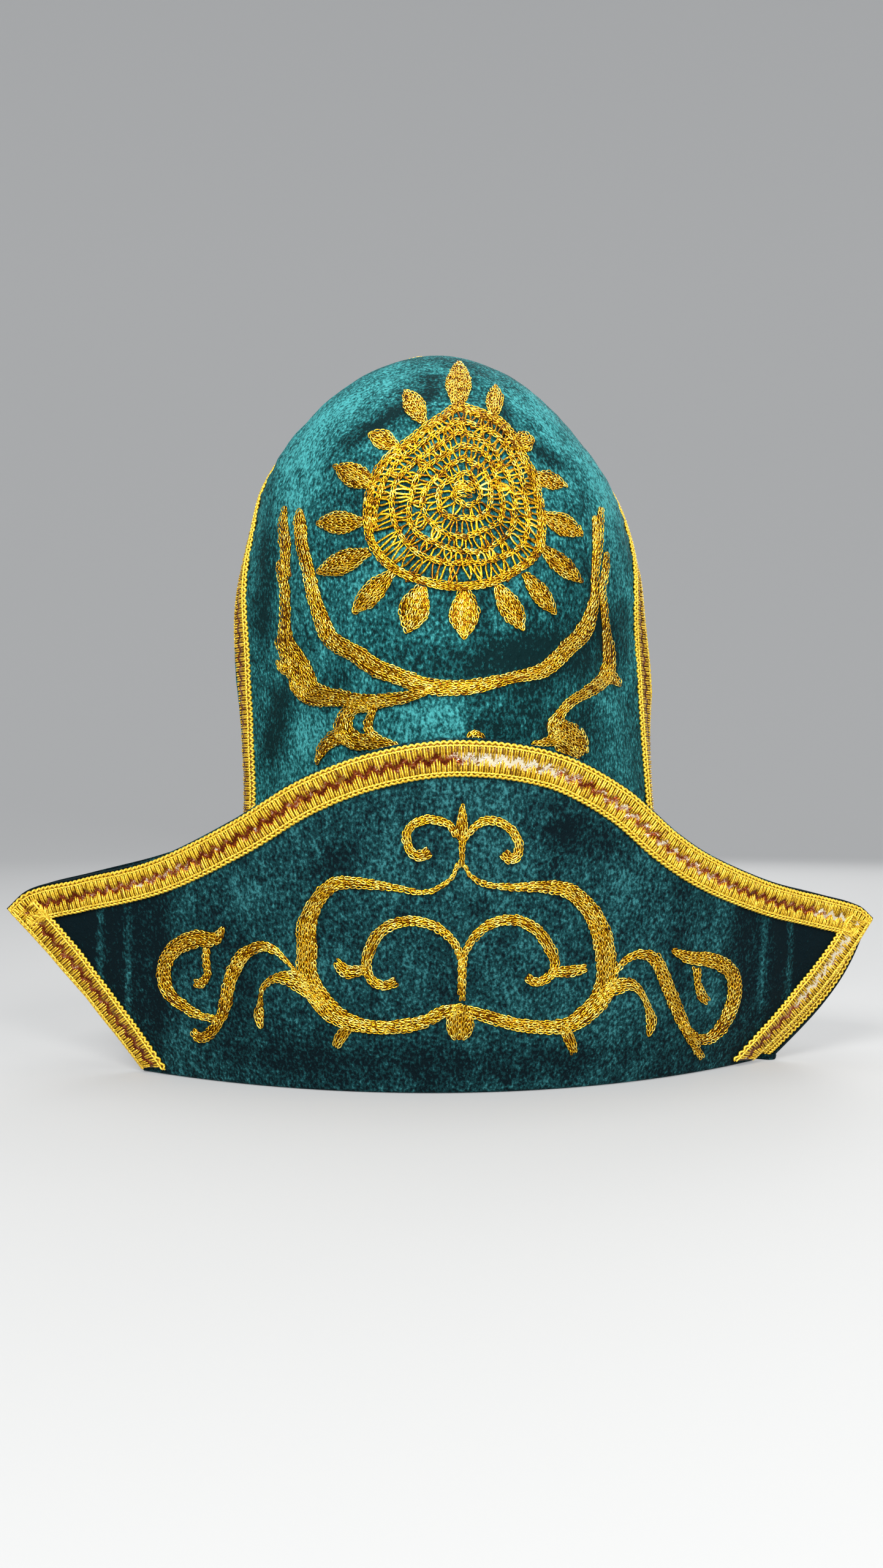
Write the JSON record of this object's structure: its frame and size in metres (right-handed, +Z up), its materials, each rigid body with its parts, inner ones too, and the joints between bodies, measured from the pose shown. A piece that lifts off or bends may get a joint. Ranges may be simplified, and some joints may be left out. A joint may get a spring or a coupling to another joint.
{
  "type": "embroidered velvet kalpak hat",
  "caption": "Tall domed velvet hat with a split, turned-up brim that ends in pointed wings, gold braid along the seams and edges, and gold chain stitch embroidery on the front.",
  "frame": {"origin": "centre of the hat's box at the underside of the brim's fold, on the surface that the hat stands on", "axes": "+Z up through the crown, the embroidered front faces -Y, +X runs along the brim from wing tip to wing tip"},
  "size_m": [0.3814, 0.1774, 0.3163],
  "materials": {
    "crown_velvet": "crushed teal velvet",
    "brim_velvet": "crushed teal velvet",
    "gold_braid": "yellow gold gimp braid",
    "gold_foil": "bright foil strip in the braid",
    "gold_thread": "metallic gold chain stitch thread"
  },
  "bodies": {
    "root": {"crown_front_panel": "crown_velvet", "crown_back_panel": "crown_velvet", "crown_seam_braid": "gold_braid", "brim_front_flap": "brim_velvet", "brim_back_flap": "brim_velvet", "brim_front_braid": "gold_braid", "brim_back_braid": "gold_braid"}
  },
  "joints": []
}
